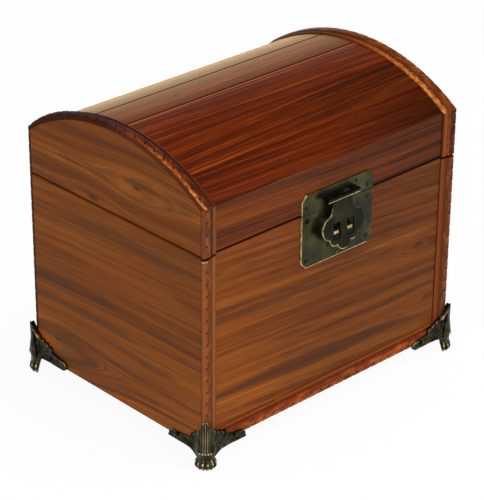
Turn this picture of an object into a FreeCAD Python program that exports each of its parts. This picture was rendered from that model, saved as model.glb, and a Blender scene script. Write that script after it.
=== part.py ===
import FreeCAD, Part
import math
import os

# A dome-topped wooden recipe box with cast corner feet, a hasp latch and two stop hinges.
# All sizes are millimetres, +Z is up, the front looks along -Y and the floor is at z = 0.

# Body of the box
box_width = 190.0          # over the outer faces of the two ends
box_depth = 138.0          # over the front and back edges of the ends
body_height = 113.8        # bottom edges of the panels to the rim
end_thickness = 9.0
wall_thickness = 8.0       # front and back panels, and the rails of the lid
bottom_thickness = 5.0
bottom_inset = 3.0         # underside of the bottom panel above the panels' bottom edges
bottom_tongue = 4.0        # how far the bottom panel enters its grooves
seam_gap = 0.5             # between the rims of body and lid
rim_ease = 0.8             # bevel along the outer edges of both rims

# Lid
lid_side_height = 26.2     # rim of the lid to the spring of its arch
lid_rise = 22.0            # spring to crown
stave_thickness = 6.0
stave_width = 26.3         # along the roof, for the middle staves; the two edge staves take the rest
middle_staves = 4
stave_groove = 0.9         # bevel along the staves' long edges
stave_housing = 4.0        # how far the staves enter the ends

# Mouldings
moulding_width = 9.5
moulding_thickness = 2.0
moulding_edge = 1.6        # square edge below the round face
base_moulding_height = 8.6
arch_moulding_thickness = 2.0

# Feet
foot_drop = 11.3           # bottom edges of the panels above the floor
paw_axis_inset = 1.6       # axis of the paw inside both faces of the corner
paw_radius = 6.2
paw_pad_radius = 4.2
paw_widest = 3.2           # height of the widest ring above the floor
waist_rise = 1.9           # above the widest ring
waist_radius = 5.3
neck_rise = 1.5            # above the waist
neck_radius = 4.4
bulge_radius = 5.8
leaf_radius = 4.7
leaf_root = 6.8            # the corner leaf rises straight from here, above the bottom edge of the box
leaf_straight = 9.5
leaf_tip_arch = 0.7        # rise of the leaf's rounded tip
leaf_tip_width = 2.2
leaf_width = 7.2
leaf_narrows = 7.0         # the leaf narrows over this height to its tip
wing_length = 27.4
wing_thickness = 2.2
wing_tip_height = 3.8
wing_tip_drop = 1.8        # lower edge of the wing tip below the bottom edge of the box
wing_root_drop = 4.6
wing_sag_drop = 2.5        # lower edge of the wing where it bends
wing_sag_reach = 11.2
leaflet_rise = 11.0        # tip of the leaflet beside the corner leaf
leaflet_reach = 5.0        # from the corner to that tip
leaflet_step_out = 5.3     # from each leaflet tip to the next
leaflet_step_down = 2.0
leaflet_notch = 2.6        # depth of the notch below each tip
leaflets = 3
seat_reach = 20.0
seat_thickness = 2.2
foot_nail_reach = 21.0     # from the corner along the wing
foot_nail_height = 1.6     # above the bottom edge of the box

# Latch
latch_offset = 2.6         # the latch stands a little right of the middle
plate_width = 53.8
plate_thickness = 1.0
upper_plate_height = 11.0
lower_plate_height = 31.4
plate_margin = 0.15        # from each plate to the rim beside it
plate_corner = 3.5         # clipped outer corners
plate_nail_inset = 3.9     # nail to the plate's outer edges
upper_nail_rise = 3.2      # above the upper plate's lower edge
lower_nail_fall = 3.6      # below the lower plate's upper edge
tack_hole_radius = 0.8
tack_hole_inset = 2.7      # from the plate's long edge
tack_hole_spread = 27.4

# Hasp
hasp_pivot_out = 5.0       # pin axis in front of the wood
hasp_pivot_rise = 5.2      # pin axis above the lid's rim
hasp_barrel_radius = 1.4
hasp_barrel_length = 15.0  # also the width of the hasp's neck
hasp_thickness = 0.9
hasp_tilt = 4.5            # degrees that the hanging hasp leans out
hasp_neck = 5.6            # pin axis to the end of the neck
hasp_flare = 5.6           # neck to shoulder
hasp_shoulder_width = 24.4
hasp_lobe = 12.1           # shoulder to cusp
hasp_lobe_width = 31.6
hasp_cusp_width = 21.4
hasp_small_lobe = 3.9      # cusp to notch
hasp_notch_width = 10.2
hasp_tip = 3.8             # notch to the lowest point
hasp_window_width = 5.4
hasp_window_above = 5.6    # window above the middle of its staple
hasp_window_below = 3.9
ear_length = 4.4
ear_strap = 1.1
hasp_pin_radius = 0.7

# Staples
staple_spacing = 10.4
staple_drop = 20.1         # middle of the staples below the hasp's pin
staple_out = 5.65          # nose in front of the wood
staple_height = 4.4
staple_width = 3.8
staple_strap = 0.9
staple_bite = 3.0          # legs let into the wood

# Hinges
hinge_inset = 45.0         # middle of each hinge inside the outer face of the end beside it
hinge_axis_out = 2.8       # pin axis behind the back face
knuckle_radius = 2.2
hinge_pin_radius = 1.0
hinge_leaf_width = 25.0
hinge_leaf_depth = 6.5
hinge_leaf_thickness = 1.0
middle_knuckle = 8.7
lid_stop_angle = 110.0
stop_clearance = 0.1       # stop tail to the back panel at full opening
hinge_screw_spread = 15.0
hinge_screw_inset = 3.6    # from the back face
screw_length = 7.0
screw_radius = 0.8
screw_head_radius = 1.6

# Nails
nail_radius = 0.7
plate_nail_head = 1.7
plate_nail_crown = 0.9
plate_nail_length = 6.5
foot_nail_head = 1.1
foot_nail_crown = 0.6
foot_nail_length = 9.0

# Fits
drill_clearance = 0.05
pin_clearance = 0.05
knuckle_gap = 0.15
cut_lead = 1.0             # a hole or a seat is cut from this far outside the piece

# Heights and planes worked out from the sizes above
base_z = foot_drop
rim_z = base_z + body_height
lid_rim_z = rim_z + seam_gap
spring_z = lid_rim_z + lid_side_height
half_width = box_width / 2
half_depth = box_depth / 2
inner_x = half_width - end_thickness
front_y = -half_depth
back_y = half_depth
roof_radius = (half_depth ** 2 + lid_rise ** 2) / (2 * lid_rise)
roof_z = spring_z + lid_rise - roof_radius
roof_half_angle = math.asin(half_depth / roof_radius)

# Hinge and hasp axes
hinge_x = half_width - hinge_inset
hinge_y = back_y + hinge_axis_out
hinge_z = rim_z + seam_gap / 2
hasp_y = front_y - hasp_pivot_out
hasp_z = lid_rim_z + hasp_pivot_rise
stop_turn = math.radians(lid_stop_angle)
stop_rest = hinge_axis_out - stop_clearance - hinge_leaf_thickness / 2 * math.sin(stop_turn)
stop_length = stop_rest / -math.cos(stop_turn)

# How far the object reaches in front of and behind the wood, which sets its middle
lean = math.radians(hasp_tilt)
plate_back = hasp_barrel_radius - hasp_thickness
hasp_drop = hasp_neck + hasp_flare + hasp_lobe + hasp_small_lobe + hasp_tip
hasp_reach = hasp_pivot_out + hasp_drop * math.sin(lean) - plate_back * math.cos(lean)
foot_reach = moulding_thickness + paw_radius - paw_axis_inset
front_reach = max(hasp_reach, hasp_pivot_out + hasp_barrel_radius, foot_reach)
back_reach = max(hinge_axis_out + stop_length, foot_reach)
middle_shift = (front_reach - back_reach) / 2


def vec(x, y, z):
    return FreeCAD.Vector(x, y, z)


def block(x0, x1, y0, y1, z0, z1):
    return Part.makeBox(x1 - x0, y1 - y0, z1 - z0, vec(x0, y0, z0))


def line(a, b):
    return Part.LineSegment(a, b).toShape()


def arc(a, middle, b):
    return Part.Arc(a, middle, b).toShape()


def tangent_arc(a, b, leaving):
    chord = b - a
    side = leaving - chord * (leaving.dot(chord) / chord.dot(chord))
    swell = chord.Length / 2 * math.tan(leaving.getAngle(chord) / 2)
    return arc(a, a + chord / 2 + side.normalize() * swell, b)


def face_of(edges):
    return Part.Face(Part.Wire(edges))


def polygon(points):
    return Part.Face(Part.makePolygon(points + points[:1]))


def rod(radius, length, start, direction):
    return Part.makeCylinder(radius, length, start, direction)


def mirrored_x(shape):
    return shape.mirror(vec(0, 0, 0), vec(1, 0, 0))


def mirrored_y(shape):
    return shape.mirror(vec(0, 0, 0), vec(0, 1, 0))


def cut_all(shape, tools):
    return shape.cut(Part.makeCompound(tools))


# Fasteners: a domed nail and a countersunk screw, each pointing along a direction


def pointed(shape, place, direction):
    turn = FreeCAD.Rotation(vec(0, 0, -1), direction)
    shape.Placement = FreeCAD.Placement(place, turn)
    return shape


def nail(head_radius, crown, length, place, direction):
    top = vec(0, 0, crown)
    rim = vec(head_radius, 0, 0)
    neck = vec(nail_radius, 0, 0)
    tip_side = vec(nail_radius, 0, 2 * nail_radius - length)
    tip = vec(0, 0, -length)
    section = face_of([tangent_arc(top, rim, vec(1, 0, 0)), line(rim, neck), line(neck, tip_side),
                       line(tip_side, tip), line(tip, top)])
    return pointed(section.revolve(vec(0, 0, 0), vec(0, 0, 1), 360), place, direction)


def nail_hole(length, place, direction):
    start = place - direction * cut_lead
    return rod(nail_radius + drill_clearance, length + drill_clearance + cut_lead, start, direction)


def screw(place, direction, grow=0.0):
    head = screw_head_radius + grow
    shank = screw_radius + grow
    length = screw_length + grow
    corners = [vec(0, 0, 0), vec(head, 0, 0), vec(shank, 0, shank - head),
               vec(shank, 0, -length), vec(0, 0, -length)]
    return pointed(polygon(corners).revolve(vec(0, 0, 0), vec(0, 0, 1), 360), place, direction)


# Body panels


def front_panel():
    outline = polygon([vec(-inner_x, front_y, base_z), vec(-inner_x, front_y, rim_z - rim_ease),
                       vec(-inner_x, front_y + rim_ease, rim_z),
                       vec(-inner_x, front_y + wall_thickness, rim_z),
                       vec(-inner_x, front_y + wall_thickness, base_z)])
    return outline.extrude(vec(2 * inner_x, 0, 0)).cut(bottom_panel())


def back_panel():
    return mirrored_y(front_panel())


def left_end_panel():
    outline = polygon([vec(-half_width, front_y, base_z), vec(-half_width, front_y, rim_z - rim_ease),
                       vec(rim_ease - half_width, front_y, rim_z), vec(-inner_x, front_y, rim_z),
                       vec(-inner_x, front_y, base_z)])
    return outline.extrude(vec(0, box_depth, 0)).cut(bottom_panel())


def bottom_panel():
    reach_x = inner_x + bottom_tongue
    reach_y = half_depth - wall_thickness + bottom_tongue
    low = base_z + bottom_inset
    return block(-reach_x, reach_x, -reach_y, reach_y, low, low + bottom_thickness)


# Lid panels


def roof_point(radius, angle):
    return vec(0, radius * math.sin(angle), roof_z + radius * math.cos(angle))


def stave_face(start, end, groove):
    bevel = groove / roof_radius
    inner_radius = roof_radius - stave_thickness
    middle = (start + end) / 2
    a = roof_point(roof_radius, start + bevel)
    b = roof_point(roof_radius, end - bevel)
    c = roof_point(roof_radius - groove, end)
    d = roof_point(inner_radius, end)
    e = roof_point(inner_radius, start)
    f = roof_point(roof_radius - groove, start)
    return face_of([arc(a, roof_point(roof_radius, middle), b), line(b, c), line(c, d),
                    arc(d, roof_point(inner_radius, middle), e), line(e, f), line(f, a)])


def staves():
    step = stave_width / roof_radius
    inner = [(i - middle_staves / 2) * step for i in range(middle_staves + 1)]
    joints = [-roof_half_angle] + inner + [roof_half_angle]
    reach = inner_x + stave_housing
    boards = []
    for start, end in zip(joints, joints[1:]):
        board = stave_face(start, end, stave_groove).extrude(vec(2 * reach, 0, 0))
        board.translate(vec(-reach, 0, 0))
        boards.append(board)
    return boards


def stave_seat():
    crown = roof_radius + cut_lead
    floor = roof_radius - stave_thickness
    left = roof_half_angle
    edges = [arc(roof_point(crown, -left), roof_point(crown, 0), roof_point(crown, left)),
             line(roof_point(crown, left), roof_point(floor, left)),
             arc(roof_point(floor, left), roof_point(floor, 0), roof_point(floor, -left)),
             line(roof_point(floor, -left), roof_point(crown, -left))]
    seat = face_of(edges).extrude(vec(stave_housing, 0, 0))
    seat.translate(vec(-inner_x - stave_housing, 0, 0))
    return seat


def lid_left_end():
    a = vec(-half_width, front_y, lid_rim_z)
    b = vec(-half_width, back_y, lid_rim_z)
    c = vec(-half_width, back_y, spring_z)
    d = vec(-half_width, front_y, spring_z)
    crown = vec(-half_width, 0, spring_z + lid_rise)
    panel = face_of([line(a, b), line(b, c), arc(c, crown, d), line(d, a)])
    panel = panel.extrude(vec(end_thickness, 0, 0))
    ease = polygon([a, a + vec(rim_ease, 0, 0), a + vec(0, 0, rim_ease)]).extrude(vec(0, box_depth, 0))
    return panel.cut(ease).cut(stave_seat())


def lid_front_rail():
    bevel_drop = wall_thickness / math.tan(roof_half_angle)
    inner_y = front_y + wall_thickness
    outline = polygon([vec(-inner_x, front_y + rim_ease, lid_rim_z),
                       vec(-inner_x, front_y, lid_rim_z + rim_ease), vec(-inner_x, front_y, spring_z),
                       vec(-inner_x, inner_y, spring_z - bevel_drop), vec(-inner_x, inner_y, lid_rim_z)])
    return outline.extrude(vec(2 * inner_x, 0, 0))


# Mouldings: a flat-backed strip with a round face, along an edge or round the arch


def moulding_section(origin, across, out, width, thickness):
    a = origin
    b = origin + out * moulding_edge
    crown = origin + across * (width / 2) + out * thickness
    c = b + across * width
    d = origin + across * width
    return face_of([line(a, b), arc(b, crown, c), line(c, d), line(d, a)])


def upright_moulding(low, high):
    corner = vec(-half_width, front_y, low)
    section = moulding_section(corner, vec(1, 0, 0), vec(0, -1, 0), moulding_width, moulding_thickness)
    return section.extrude(vec(0, 0, high - low))


def base_moulding():
    reach = half_width - moulding_width
    start = vec(-reach, front_y, base_z)
    section = moulding_section(start, vec(0, 0, 1), vec(0, -1, 0), base_moulding_height, moulding_thickness)
    return section.extrude(vec(2 * reach, 0, 0))


def mitre_block(rising):
    tilt = (math.pi / 2 - roof_half_angle) / 2
    along = vec(0, -math.cos(tilt), math.sin(tilt))
    reach = moulding_width + arch_moulding_thickness
    height = vec(0, 0, reach if rising else -reach)
    corner = vec(-half_width, front_y, spring_z)
    a = corner - along * reach
    b = corner + along * reach
    return polygon([a, b, b + height, a + height]).extrude(vec(moulding_width, 0, 0))


def lid_upright_moulding():
    return upright_moulding(lid_rim_z, spring_z + arch_moulding_thickness).cut(mitre_block(True))


def arch_moulding():
    overrun = moulding_width / roof_radius
    turn = 2 * math.degrees(roof_half_angle + overrun)
    start = vec(-half_width, 0, roof_z + roof_radius)
    section = moulding_section(start, vec(1, 0, 0), vec(0, 0, 1), moulding_width, arch_moulding_thickness)
    strip = section.revolve(vec(0, 0, roof_z), vec(1, 0, 0), turn)
    strip.rotate(vec(0, 0, roof_z), vec(1, 0, 0), -turn / 2)
    mitre = mitre_block(False)
    return cut_all(strip, [mitre, mirrored_y(mitre)])


# Feet: a cast bracket round a corner at the origin, with the box at x, y and z above zero


leaf_side = leaf_root + leaf_straight
leaf_rise = leaf_side + leaf_tip_arch


def wing():
    root = vec(0, 0, -wing_root_drop)
    sag = vec(wing_sag_reach, 0, -wing_sag_drop)
    low = vec(wing_length, 0, -wing_tip_drop)
    top = [vec(wing_length, 0, wing_tip_height - wing_tip_drop)]
    for number in reversed(range(leaflets)):
        tip = vec(leaflet_reach + number * leaflet_step_out, 0, leaflet_rise - number * leaflet_step_down)
        top += [tip - vec(0, 0, leaflet_notch), tip]
    top.append(vec(0, 0, leaflet_rise))
    edges = [arc(root, sag, low), line(low, top[0])]
    edges += [line(a, b) for a, b in zip(top, top[1:])]
    edges.append(line(top[-1], root))
    return face_of(edges).extrude(vec(0, -wing_thickness, 0))


def foot_column():
    pad_z = -foot_drop
    widest_z = pad_z + paw_widest
    waist_z = widest_z + waist_rise
    a = vec(0, 0, pad_z)
    b = vec(paw_pad_radius, 0, pad_z)
    c = vec(paw_radius, 0, widest_z)
    waist = vec(waist_radius, 0, waist_z)
    d = vec(neck_radius, 0, waist_z + neck_rise)
    bulge = vec(bulge_radius, 0, 0)
    e = vec(leaf_radius, 0, leaf_root)
    f = vec(leaf_radius, 0, leaf_rise)
    g = vec(0, 0, leaf_rise)
    section = face_of([line(a, b), tangent_arc(c, b, vec(0, 0, -1)), line(c, waist), line(waist, d),
                       arc(d, bulge, e), line(e, f), line(f, g), line(g, a)])
    return section.revolve(vec(0, 0, 0), vec(0, 0, 1), 360)


def leaf_outline():
    room = paw_radius + bulge_radius + leaf_width
    right = [vec(room, 0, -foot_drop), vec(room, 0, 0), vec(leaf_width / 2, 0, leaf_side - leaf_narrows),
             vec(leaf_tip_width / 2, 0, leaf_side)]
    edges = [line(a, b) for a, b in zip(right, right[1:])]
    edges += [mirrored_x(edge) for edge in edges]
    left_foot = vec(-room, 0, -foot_drop)
    left_tip = vec(-leaf_tip_width / 2, 0, leaf_side)
    edges += [line(left_foot, right[0]), arc(right[-1], vec(0, 0, leaf_rise), left_tip)]
    return face_of(Part.__sortEdges__(edges)).extrude(vec(0, -room, 0))


def corner_foot():
    leaf = foot_column().common(leaf_outline())
    leaf.rotate(vec(0, 0, 0), vec(0, 0, 1), -45)
    leaf.translate(vec(paw_axis_inset, paw_axis_inset, 0))
    side = wing()
    other = side.mirror(vec(0, 0, 0), vec(1, -1, 0))
    corner_post = block(-wing_thickness, 0, -wing_thickness, 0, -wing_root_drop, leaflet_rise)
    seat = polygon([vec(0, 0, 0), vec(seat_reach, 0, 0), vec(0, seat_reach, 0)])
    seat = seat.extrude(vec(0, 0, -seat_thickness))
    foot = leaf.multiFuse([side, other, corner_post, seat]).removeSplitter()
    room = wing_length + leaf_rise
    return foot.cut(block(0, room, 0, room, 0, room))


def foot_nail_places():
    out = -wing_thickness
    return [(vec(foot_nail_reach, out, foot_nail_height), vec(0, 1, 0)),
            (vec(out, foot_nail_reach, foot_nail_height), vec(1, 0, 0))]


def corners():
    reach_y = half_depth + moulding_thickness
    return {"foot_front_left": (vec(-half_width, -reach_y, base_z), 0),
            "foot_front_right": (vec(half_width, -reach_y, base_z), 90),
            "foot_back_right": (vec(half_width, reach_y, base_z), 180),
            "foot_back_left": (vec(-half_width, reach_y, base_z), 270)}


# Latch: two plates, two staples, and a hasp on a pin


def plate(straight_z, clipped_z):
    half = plate_width / 2
    clip_x = half - plate_corner
    clip_z = clipped_z - math.copysign(plate_corner, clipped_z - straight_z)
    places = [(-half, straight_z), (half, straight_z), (half, clip_z), (clip_x, clipped_z),
              (-clip_x, clipped_z), (-half, clip_z)]
    outline = polygon([vec(latch_offset + x, front_y, z) for x, z in places])
    return outline.extrude(vec(0, -plate_thickness, 0))


upper_low = lid_rim_z + plate_margin
upper_high = upper_low + upper_plate_height
lower_high = rim_z - plate_margin
lower_low = lower_high - lower_plate_height
plate_y = front_y - plate_thickness
staple_z = hasp_z - staple_drop
inward = FreeCAD.Vector(0, 1, 0)


def plate_nails(heights):
    reach = plate_width / 2 - plate_nail_inset
    return [vec(latch_offset + side * reach, plate_y, z) for z in heights for side in (-1, 1)]


upper_nail_places = plate_nails([upper_low + upper_nail_rise])
lower_nail_places = plate_nails([lower_high - lower_nail_fall, lower_low + plate_nail_inset])


def tack_hole(x, z):
    return rod(tack_hole_radius, plate_thickness, vec(latch_offset + x, plate_y, z), inward)


def hasp_ear(side):
    start = latch_offset + side * (hasp_barrel_length / 2 + knuckle_gap)
    x0 = min(start, start + side * ear_length)
    roll = rod(hasp_barrel_radius, ear_length, vec(x0, hasp_y, hasp_z), vec(1, 0, 0))
    top = hasp_z + hasp_barrel_radius
    strap = block(x0, x0 + ear_length, hasp_y, plate_y, top - ear_strap, top)
    return roll.fuse(strap)


def hasp_pin(grow=0.0):
    length = hasp_barrel_length + 2 * (knuckle_gap + ear_length)
    start = vec(latch_offset - length / 2 - grow, hasp_y, hasp_z)
    return rod(hasp_pin_radius + grow, length + 2 * grow, start, vec(1, 0, 0))


def latch_upper_plate():
    shape = plate(upper_low, upper_high)
    shape = shape.multiFuse([hasp_ear(-1), hasp_ear(1)]).removeSplitter()
    high = upper_high - tack_hole_inset
    holes = [tack_hole(-tack_hole_spread / 2, high), tack_hole(tack_hole_spread / 2, high)]
    holes += [nail_hole(plate_nail_length, place, inward) for place in upper_nail_places]
    holes.append(hasp_pin(pin_clearance))
    return cut_all(shape, holes)


def staple(side, grow=0.0):
    x = latch_offset + side * staple_spacing / 2
    half = staple_height / 2 + grow
    nose_y = front_y - staple_out - grow
    shoulder_y = nose_y + half
    root_y = front_y + staple_bite + grow

    def loop(reach, out_y):
        a = vec(x, root_y, staple_z - reach)
        b = vec(x, shoulder_y, staple_z - reach)
        c = vec(x, out_y, staple_z)
        d = vec(x, shoulder_y, staple_z + reach)
        e = vec(x, root_y, staple_z + reach)
        return face_of([line(a, b), arc(b, c, d), line(d, e), line(e, a)])

    strap = staple_strap + 2 * grow
    width = staple_width + 2 * grow
    shape = loop(half, nose_y).cut(loop(half - strap, nose_y + strap)).extrude(vec(width, 0, 0))
    shape.translate(vec(-width / 2, 0, 0))
    return shape


def latch_lower_plate():
    shape = plate(lower_high, lower_low)
    holes = [tack_hole(0, lower_low + tack_hole_inset), staple(-1, drill_clearance), staple(1, drill_clearance)]
    holes += [nail_hole(plate_nail_length, place, inward) for place in lower_nail_places]
    return cut_all(shape, holes)


def hasp_outline():
    down = vec(0, 0, -1)
    top = vec(hasp_barrel_length / 2, plate_back, 0)
    neck = top + down * hasp_neck
    shoulder_z = -hasp_neck - hasp_flare
    cusp_z = shoulder_z - hasp_lobe
    shoulder = vec(hasp_shoulder_width / 2, plate_back, shoulder_z)
    lobe = vec(hasp_lobe_width / 2, plate_back, (shoulder_z + cusp_z) / 2)
    cusp = vec(hasp_cusp_width / 2, plate_back, cusp_z)
    notch = vec(hasp_notch_width / 2, plate_back, cusp_z - hasp_small_lobe)
    tip = vec(0, plate_back, -hasp_drop)
    half = [line(top, neck), tangent_arc(neck, shoulder, down), arc(shoulder, lobe, cusp),
            tangent_arc(cusp, notch, down), tangent_arc(tip, notch, vec(1, 0, 0))]
    other = [mirrored_x(edge) for edge in half]
    across = line(top, top - vec(hasp_barrel_length, 0, 0))
    return face_of(Part.__sortEdges__(half + other + [across]))


def hasp():
    shape = hasp_outline().extrude(vec(0, hasp_thickness, 0))
    barrel_start = vec(-hasp_barrel_length / 2, 0, 0)
    shape = shape.fuse(rod(hasp_barrel_radius, hasp_barrel_length, barrel_start, vec(1, 0, 0)))
    bore = rod(hasp_pin_radius + pin_clearance, hasp_barrel_length, barrel_start, vec(1, 0, 0))
    shape = shape.removeSplitter().cut(bore)
    shape.rotate(vec(0, 0, 0), vec(1, 0, 0), -hasp_tilt)
    shape.translate(vec(latch_offset, hasp_y, hasp_z))
    high = staple_z + hasp_window_above
    low = staple_z - hasp_window_below
    far_y = front_y - front_reach - cut_lead
    windows = []
    for side in (-1, 1):
        x = latch_offset + side * staple_spacing / 2
        half_window = hasp_window_width / 2
        windows.append(block(x - half_window, x + half_window, far_y, front_y, low, high))
    return cut_all(shape, windows)


# Hinges: leaves let into the rims, three knuckles, a pin and a stop tail on the lid leaf


def leaf_plate(x, low):
    half = hinge_leaf_width / 2
    return block(x - half, x + half, back_y - hinge_leaf_depth, back_y, low, low + hinge_leaf_thickness)


def knuckle(x0, x1, low):
    roll = rod(knuckle_radius, x1 - x0, vec(x0, hinge_y, hinge_z), vec(1, 0, 0))
    strap = block(x0, x1, back_y, hinge_y, low, low + hinge_leaf_thickness)
    return roll.fuse(strap)


def hinge_pin(x, grow=0.0):
    start = vec(x - hinge_leaf_width / 2 - grow, hinge_y, hinge_z)
    return rod(hinge_pin_radius + grow, hinge_leaf_width + 2 * grow, start, vec(1, 0, 0))


def screw_places(x, z):
    y = back_y - hinge_screw_inset
    return [vec(x + side * hinge_screw_spread / 2, y, z) for side in (-1, 1)]


def hinge_body_leaf(x):
    low = rim_z - hinge_leaf_thickness
    half = hinge_leaf_width / 2
    gap = middle_knuckle / 2 + knuckle_gap
    rolls = [knuckle(x - half, x - gap, low), knuckle(x + gap, x + half, low)]
    shape = leaf_plate(x, low).multiFuse(rolls).removeSplitter()
    holes = [screw(place, vec(0, 0, -1), drill_clearance) for place in screw_places(x, rim_z)]
    return cut_all(shape, holes + [hinge_pin(x, pin_clearance)])


def hinge_lid_leaf(x):
    half = middle_knuckle / 2
    tail_low = hinge_z - hinge_leaf_thickness / 2
    tail = block(x - half, x + half, hinge_y, hinge_y + stop_length, tail_low, tail_low + hinge_leaf_thickness)
    shape = leaf_plate(x, lid_rim_z).multiFuse([knuckle(x - half, x + half, lid_rim_z), tail]).removeSplitter()
    holes = [screw(place, vec(0, 0, 1), drill_clearance) for place in screw_places(x, lid_rim_z)]
    return cut_all(shape, holes + [hinge_pin(x, pin_clearance)])


# Build every piece, then drill the wood for what is driven or let into it
pieces = {}
pieces["front_panel"] = front_panel()
pieces["back_panel"] = back_panel()
pieces["left_end_panel"] = left_end_panel()
pieces["right_end_panel"] = mirrored_x(left_end_panel())
pieces["bottom_panel"] = bottom_panel()
pieces["lid_front_rail"] = lid_front_rail()
pieces["lid_back_rail"] = mirrored_y(lid_front_rail())
pieces["lid_left_end"] = lid_left_end()
pieces["lid_right_end"] = mirrored_x(lid_left_end())
for number, board in enumerate(staves(), 1):
    pieces[f"roof_stave_{number}"] = board

for name, strip in {"": upright_moulding(base_z, rim_z), "lid_": lid_upright_moulding()}.items():
    pieces[f"{name}front_left_moulding"] = strip
    pieces[f"{name}front_right_moulding"] = mirrored_x(strip)
    pieces[f"{name}back_left_moulding"] = mirrored_y(strip)
    pieces[f"{name}back_right_moulding"] = mirrored_x(mirrored_y(strip))
pieces["front_base_moulding"] = base_moulding()
pieces["back_base_moulding"] = mirrored_y(base_moulding())
pieces["lid_left_arch_moulding"] = arch_moulding()
pieces["lid_right_arch_moulding"] = mirrored_x(arch_moulding())

foot_nails = []
foot_holes = []
for name, (corner, turn) in corners().items():
    holes = [nail_hole(foot_nail_length, place, way) for place, way in foot_nail_places()]
    nails = [nail(foot_nail_head, foot_nail_crown, foot_nail_length, place, way)
             for place, way in foot_nail_places()]
    foot = cut_all(corner_foot(), holes)
    for shape in [foot] + holes + nails:
        shape.rotate(vec(0, 0, 0), vec(0, 0, 1), turn)
        shape.translate(corner)
    pieces[name] = foot
    foot_nails += nails
    foot_holes += holes
pieces["foot_nails"] = Part.makeCompound(foot_nails)
for name in ("front_panel", "back_panel", "left_end_panel", "right_end_panel",
             "front_base_moulding", "back_base_moulding"):
    pieces[name] = cut_all(pieces[name], foot_holes)

pieces["latch_upper_plate"] = latch_upper_plate()
pieces["latch_lower_plate"] = latch_lower_plate()
pieces["staple_left"] = staple(-1)
pieces["staple_right"] = staple(1)
pieces["hasp_pin"] = hasp_pin()
pieces["hasp"] = hasp()
for name, places in {"upper": upper_nail_places, "lower": lower_nail_places}.items():
    nails = [nail(plate_nail_head, plate_nail_crown, plate_nail_length, place, inward) for place in places]
    pieces[f"latch_{name}_nails"] = Part.makeCompound(nails)
upper_holes = [nail_hole(plate_nail_length, place, inward) for place in upper_nail_places]
lower_holes = [nail_hole(plate_nail_length, place, inward) for place in lower_nail_places]
staple_slots = [staple(-1, drill_clearance), staple(1, drill_clearance)]
pieces["lid_front_rail"] = cut_all(pieces["lid_front_rail"], upper_holes)
pieces["front_panel"] = cut_all(pieces["front_panel"], lower_holes + staple_slots)

body_screws = []
lid_screws = []
for side, x in {"left": -hinge_x, "right": hinge_x}.items():
    pieces[f"{side}_hinge_body_leaf"] = hinge_body_leaf(x)
    pieces[f"{side}_hinge_lid_leaf"] = hinge_lid_leaf(x)
    pieces[f"{side}_hinge_pin"] = hinge_pin(x)
    down = [(place, vec(0, 0, -1)) for place in screw_places(x, rim_z)]
    up = [(place, vec(0, 0, 1)) for place in screw_places(x, lid_rim_z)]
    body_screws += [screw(place, way) for place, way in down]
    lid_screws += [screw(place, way) for place, way in up]
    body_cuts = [screw(place, way, drill_clearance) for place, way in down]
    lid_cuts = [screw(place, way, drill_clearance) for place, way in up]
    body_cuts.append(leaf_plate(x, rim_z - hinge_leaf_thickness))
    lid_cuts.append(leaf_plate(x, lid_rim_z))
    pieces["back_panel"] = cut_all(pieces["back_panel"], body_cuts)
    pieces["lid_back_rail"] = cut_all(pieces["lid_back_rail"], lid_cuts)
pieces["hinge_body_screws"] = Part.makeCompound(body_screws)
pieces["hinge_lid_screws"] = Part.makeCompound(lid_screws)

os.makedirs("parts", exist_ok=True)
for name, shape in pieces.items():
    shape.translate(vec(0, middle_shift, 0))
    solids = shape.Solids
    assert solids and shape.isValid(), name
    kept = solids[0] if len(solids) == 1 else Part.makeCompound(solids)
    kept.exportStep(f"parts/{name}.step")
    print(name, len(solids), round(shape.Volume, 1))
print("pieces", len(pieces), "hinge", hinge_y + middle_shift, hinge_z, "hasp", hasp_y + middle_shift, hasp_z)
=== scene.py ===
import math

import bmesh
import bpy
import numpy as np
from mathutils import Matrix, Vector


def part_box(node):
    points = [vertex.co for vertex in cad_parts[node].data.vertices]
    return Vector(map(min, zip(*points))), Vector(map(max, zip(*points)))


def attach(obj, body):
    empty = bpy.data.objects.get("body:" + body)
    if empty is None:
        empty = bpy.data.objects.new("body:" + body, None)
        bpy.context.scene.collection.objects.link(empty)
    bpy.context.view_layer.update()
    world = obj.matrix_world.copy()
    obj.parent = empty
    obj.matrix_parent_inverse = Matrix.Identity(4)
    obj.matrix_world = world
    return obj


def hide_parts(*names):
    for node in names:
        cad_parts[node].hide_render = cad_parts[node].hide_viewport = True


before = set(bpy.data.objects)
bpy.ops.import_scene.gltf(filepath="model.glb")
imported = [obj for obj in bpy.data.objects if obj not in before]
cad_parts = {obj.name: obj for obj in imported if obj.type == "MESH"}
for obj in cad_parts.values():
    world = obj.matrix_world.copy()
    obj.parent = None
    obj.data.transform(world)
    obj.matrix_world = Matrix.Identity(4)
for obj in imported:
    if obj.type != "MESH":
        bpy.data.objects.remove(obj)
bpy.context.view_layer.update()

mm = 0.001
print("frame loaded:", len(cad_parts), "nodes")

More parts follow.
